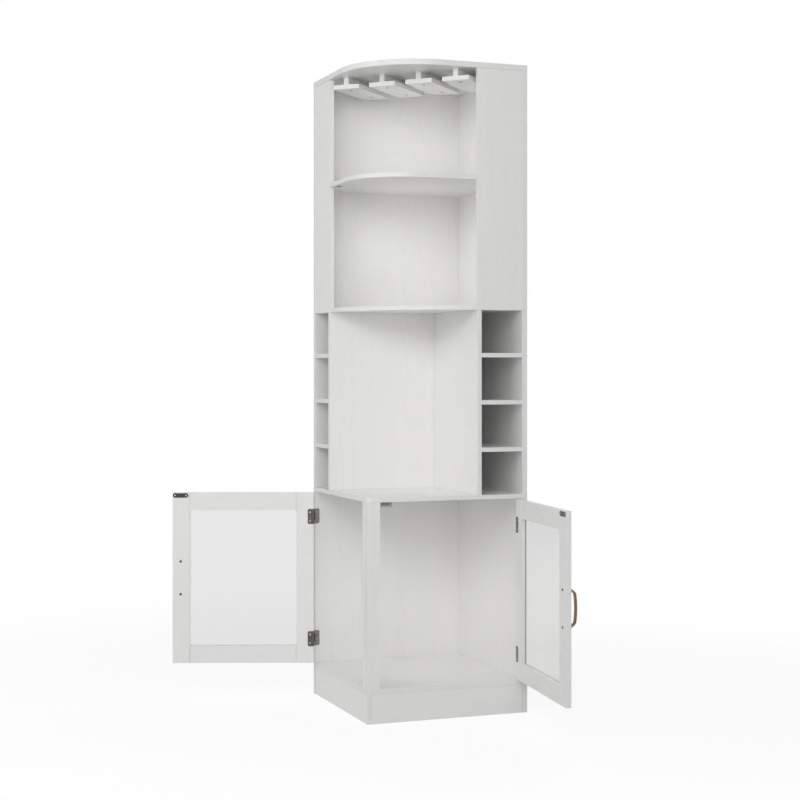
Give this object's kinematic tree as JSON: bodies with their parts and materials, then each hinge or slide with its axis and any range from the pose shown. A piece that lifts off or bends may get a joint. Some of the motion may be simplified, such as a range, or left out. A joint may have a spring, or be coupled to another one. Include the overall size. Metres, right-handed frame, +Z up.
{
  "type": "corner bar cabinet",
  "caption": "Tall white corner bar cabinet with hanging glass rails, open hutch, counter niche between bottle cubbies, and a cupboard with framed clear-panel doors.",
  "frame": {"origin": "the room corner at floor level, where the two back faces of the wall boards meet", "axes": "+Z up; the left wall board lies along X and the right wall board along Y, the cabinet is towards -X and -Y"},
  "size_m": [0.8716, 1.0236, 1.8],
  "materials": {
    "board_white": "matt white woodgrain laminate",
    "door_white": "matt white woodgrain laminate",
    "clear_panel": "clear sheet",
    "antique_brass": "aged brushed brass",
    "hinge_pewter": "dark pewter",
    "screw_steel": "zinc plated",
    "strike_black": "black",
    "catch_grey": "grey moulded",
    "magnet_dark": "bare magnet face"
  },
  "bodies": {
    "carcass": {"base_floor": "board_white", "base_wall_left": "board_white", "base_wall_right": "board_white", "catch_case_left": "catch_grey", "catch_case_right": "catch_grey", "catch_magnet_left": "magnet_dark", "catch_magnet_right": "magnet_dark", "counter": "board_white", "cubby_shelf_left_1": "board_white", "cubby_shelf_left_2": "board_white", "cubby_shelf_left_3": "board_white", "cubby_shelf_right_1": "board_white", "cubby_shelf_right_2": "board_white", "cubby_shelf_right_3": "board_white", "divider_left": "board_white", "divider_right": "board_white", "end_panel_left": "board_white", "end_panel_right": "board_white", "hinge_wall_leaves_left": "hinge_pewter", "hinge_wall_leaves_right": "hinge_pewter", "hinge_wall_screws": "screw_steel", "hutch_floor": "board_white", "hutch_shelf": "board_white", "hutch_wall_left": "board_white", "hutch_wall_right": "board_white", "kick_left": "board_white", "kick_right": "board_white", "niche_wall_left": "board_white", "niche_wall_right": "board_white", "post_front": "board_white", "post_side": "board_white", "rail_screws": "screw_steel", "stem_rail_1": "board_white", "stem_rail_2": "board_white", "stem_rail_3": "board_white", "stem_rail_4": "board_white", "top_panel": "board_white"},
    "door_left": {"door_panel_left": "clear_panel", "door_rail_low_left": "door_white", "door_rail_top_left": "door_white", "door_screws_left": "screw_steel", "door_stile_free_left": "door_white", "door_stile_hinge_left": "door_white", "handle_bolts_left": "antique_brass", "handle_left": "antique_brass", "hinge_door_leaves_left": "hinge_pewter", "strike_plate_left": "strike_black"},
    "door_right": {"door_panel_right": "clear_panel", "door_rail_low_right": "door_white", "door_rail_top_right": "door_white", "door_screws_right": "screw_steel", "door_stile_free_right": "door_white", "door_stile_hinge_right": "door_white", "handle_bolts_right": "antique_brass", "handle_right": "antique_brass", "hinge_door_leaves_right": "hinge_pewter", "strike_plate_right": "strike_black"}
  },
  "joints": [
    {"name": "left_door_hinge", "type": "hinge", "parent": "carcass", "child": "door_left", "pos_m": [-0.4762, -0.0164, 0.3445], "axis": [0, 0, -1], "range_deg": [-110, 10]},
    {"name": "right_door_hinge", "type": "hinge", "parent": "carcass", "child": "door_right", "pos_m": [-0.0164, -0.4762, 0.3445], "axis": [0, 0, 1], "range_deg": [-83, 32]}
  ]
}
